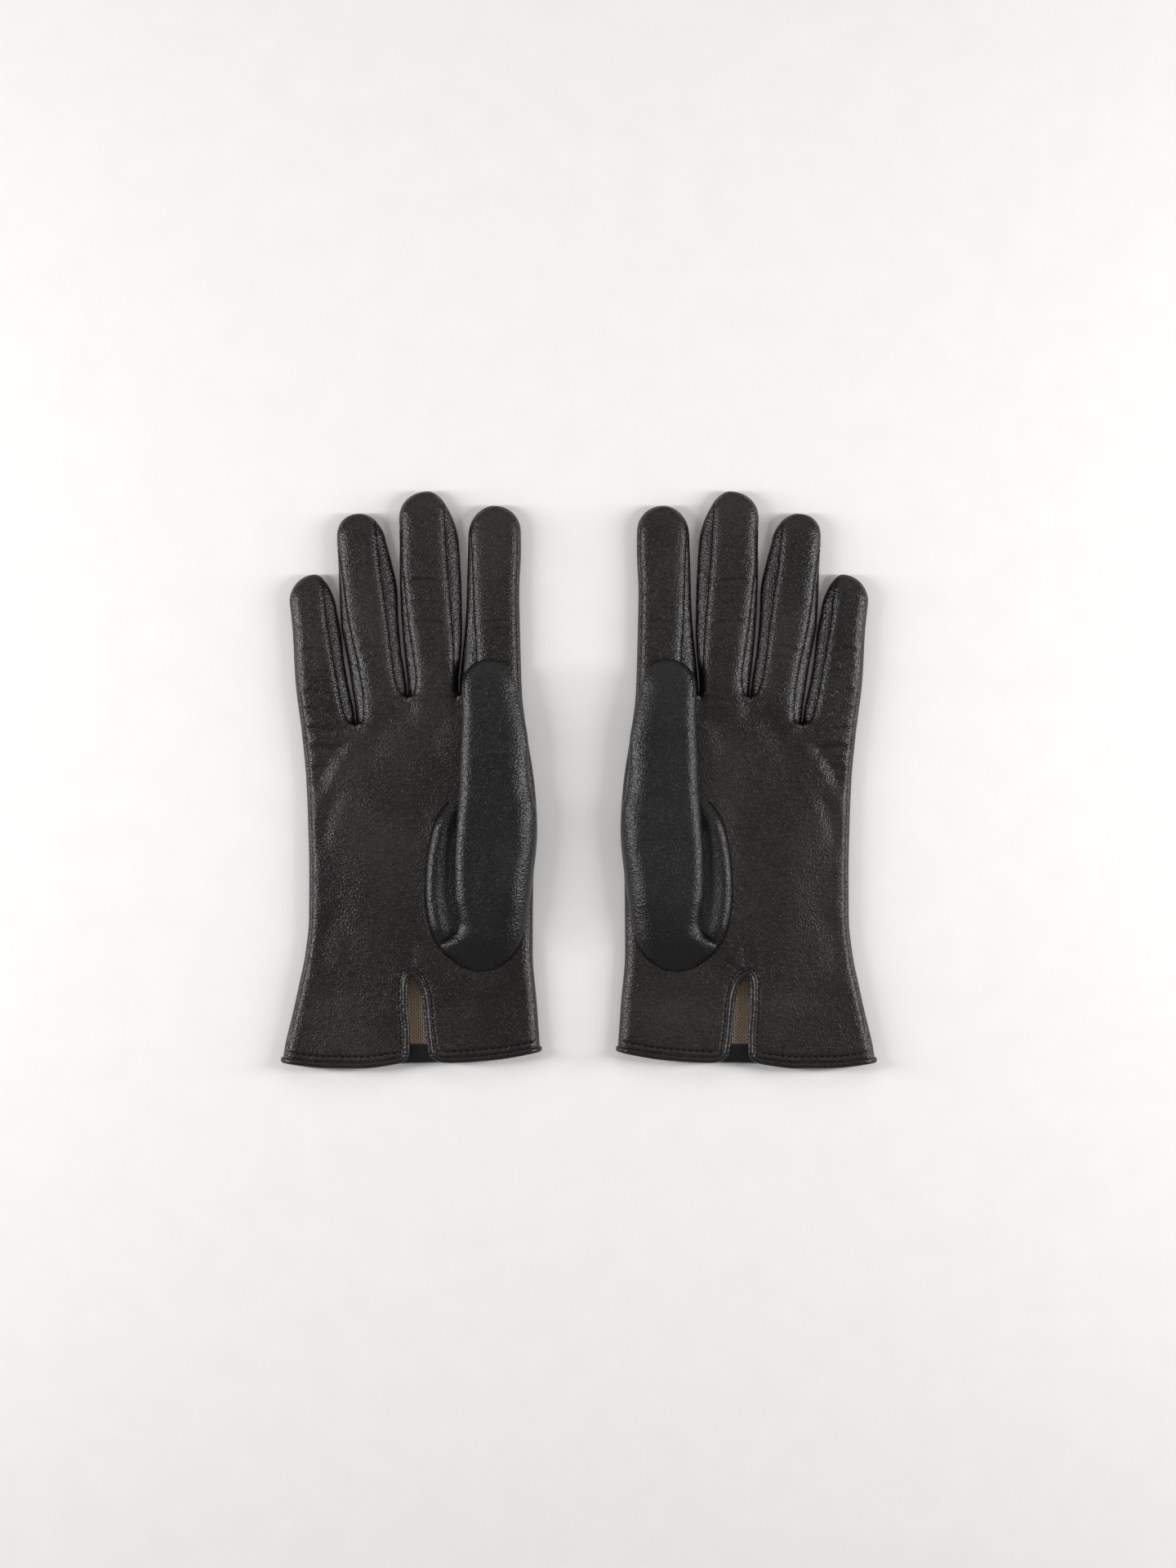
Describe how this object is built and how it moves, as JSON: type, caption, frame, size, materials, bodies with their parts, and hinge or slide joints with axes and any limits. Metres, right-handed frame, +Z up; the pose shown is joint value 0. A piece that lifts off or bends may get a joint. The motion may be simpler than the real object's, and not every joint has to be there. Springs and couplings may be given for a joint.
{
  "type": "pair of leather gloves",
  "caption": "Pair of lined black leather dress gloves laid flat, palms up, with bending fingers and lifting thumbs, bound cuffs and a short bound vent in each palm.",
  "frame": {"origin": "middle of the pair on the surface that both gloves lie on", "axes": "+X to the left glove (its palm up), +Y to the fingertips, +Z up, out of the palms"},
  "size_m": [0.2484, 0.2404, 0.0184],
  "materials": {
    "leather_black": "semi-matt fine-grain nappa, warm black",
    "binding_black": "semi-matt leather strip, black",
    "knit_lining": "fine plain-knit wool, camel taupe",
    "thread": "twisted sewing thread, black"
  },
  "bodies": {
    "right_hand": {"right_palm_panel": "leather_black", "right_back_panel": "leather_black", "right_outer_seam_welt": "leather_black", "right_thumb_side_seam": "leather_black", "right_index_middle_fourchette": "leather_black", "right_middle_ring_fourchette": "leather_black", "right_ring_little_fourchette": "leather_black", "right_hand_lining": "knit_lining", "right_inner_facing": "binding_black", "right_cuff_binding": "binding_black", "right_cuff_stitches": "thread", "right_vent_binding": "binding_black", "right_vent_stitches": "thread", "right_thumb_gusset": "leather_black", "right_thumb_base": "leather_black"},
    "right_thumb": {"right_thumb_stall": "leather_black", "right_thumb_lining": "knit_lining"},
    "right_index": {"right_index_tip": "leather_black", "right_index_tip_fourchette": "leather_black", "right_index_tip_lining": "knit_lining"},
    "right_middle": {"right_middle_tip": "leather_black", "right_middle_tip_fourchettes": "leather_black", "right_middle_tip_lining": "knit_lining"},
    "right_ring": {"right_ring_tip": "leather_black", "right_ring_tip_fourchettes": "leather_black", "right_ring_tip_lining": "knit_lining"},
    "right_little": {"right_little_tip": "leather_black", "right_little_tip_fourchette": "leather_black", "right_little_tip_lining": "knit_lining"},
    "left_hand": {"left_palm_panel": "leather_black", "left_back_panel": "leather_black", "left_outer_seam_welt": "leather_black", "left_thumb_side_seam": "leather_black", "left_index_middle_fourchette": "leather_black", "left_middle_ring_fourchette": "leather_black", "left_ring_little_fourchette": "leather_black", "left_hand_lining": "knit_lining", "left_inner_facing": "binding_black", "left_cuff_binding": "binding_black", "left_cuff_stitches": "thread", "left_vent_binding": "binding_black", "left_vent_stitches": "thread", "left_thumb_gusset": "leather_black", "left_thumb_base": "leather_black"},
    "left_thumb": {"left_thumb_stall": "leather_black", "left_thumb_lining": "knit_lining"},
    "left_index": {"left_index_tip": "leather_black", "left_index_tip_fourchette": "leather_black", "left_index_tip_lining": "knit_lining"},
    "left_middle": {"left_middle_tip": "leather_black", "left_middle_tip_fourchettes": "leather_black", "left_middle_tip_lining": "knit_lining"},
    "left_ring": {"left_ring_tip": "leather_black", "left_ring_tip_fourchettes": "leather_black", "left_ring_tip_lining": "knit_lining"},
    "left_little": {"left_little_tip": "leather_black", "left_little_tip_fourchette": "leather_black", "left_little_tip_lining": "knit_lining"}
  },
  "joints": [
    {"name": "right_thumb_lift", "type": "hinge", "parent": "right_hand", "child": "right_thumb", "pos_m": [-0.0345, -0.015, 0.0184], "axis": [1, 0, 0], "range_deg": [0, 60]},
    {"name": "right_index_bend", "type": "hinge", "parent": "right_hand", "child": "right_index", "pos_m": [-0.03605, 0.062, 0.009], "axis": [1, 0, 0], "range_deg": [0, 90]},
    {"name": "right_middle_bend", "type": "hinge", "parent": "right_hand", "child": "right_middle", "pos_m": [-0.06135, 0.064, 0.009], "axis": [1, 0, 0], "range_deg": [0, 90]},
    {"name": "right_ring_bend", "type": "hinge", "parent": "right_hand", "child": "right_ring", "pos_m": [-0.08615, 0.055, 0.009], "axis": [1, 0, 0], "range_deg": [0, 90]},
    {"name": "right_little_bend", "type": "hinge", "parent": "right_hand", "child": "right_little", "pos_m": [-0.1083, 0.048, 0.009], "axis": [1, 0, 0], "range_deg": [0, 90]},
    {"name": "left_glove_lift", "type": "slide", "parent": "right_hand", "child": "left_hand", "axis": [0, 0, 1], "range_m": [0, 0.08]},
    {"name": "left_thumb_lift", "type": "hinge", "parent": "left_hand", "child": "left_thumb", "pos_m": [0.0345, -0.015, 0.0184], "axis": [1, 0, 0], "range_deg": [0, 60]},
    {"name": "left_index_bend", "type": "hinge", "parent": "left_hand", "child": "left_index", "pos_m": [0.03605, 0.062, 0.009], "axis": [1, 0, 0], "range_deg": [0, 90]},
    {"name": "left_middle_bend", "type": "hinge", "parent": "left_hand", "child": "left_middle", "pos_m": [0.06135, 0.064, 0.009], "axis": [1, 0, 0], "range_deg": [0, 90]},
    {"name": "left_ring_bend", "type": "hinge", "parent": "left_hand", "child": "left_ring", "pos_m": [0.08615, 0.055, 0.009], "axis": [1, 0, 0], "range_deg": [0, 90]},
    {"name": "left_little_bend", "type": "hinge", "parent": "left_hand", "child": "left_little", "pos_m": [0.1083, 0.048, 0.009], "axis": [1, 0, 0], "range_deg": [0, 90]}
  ]
}
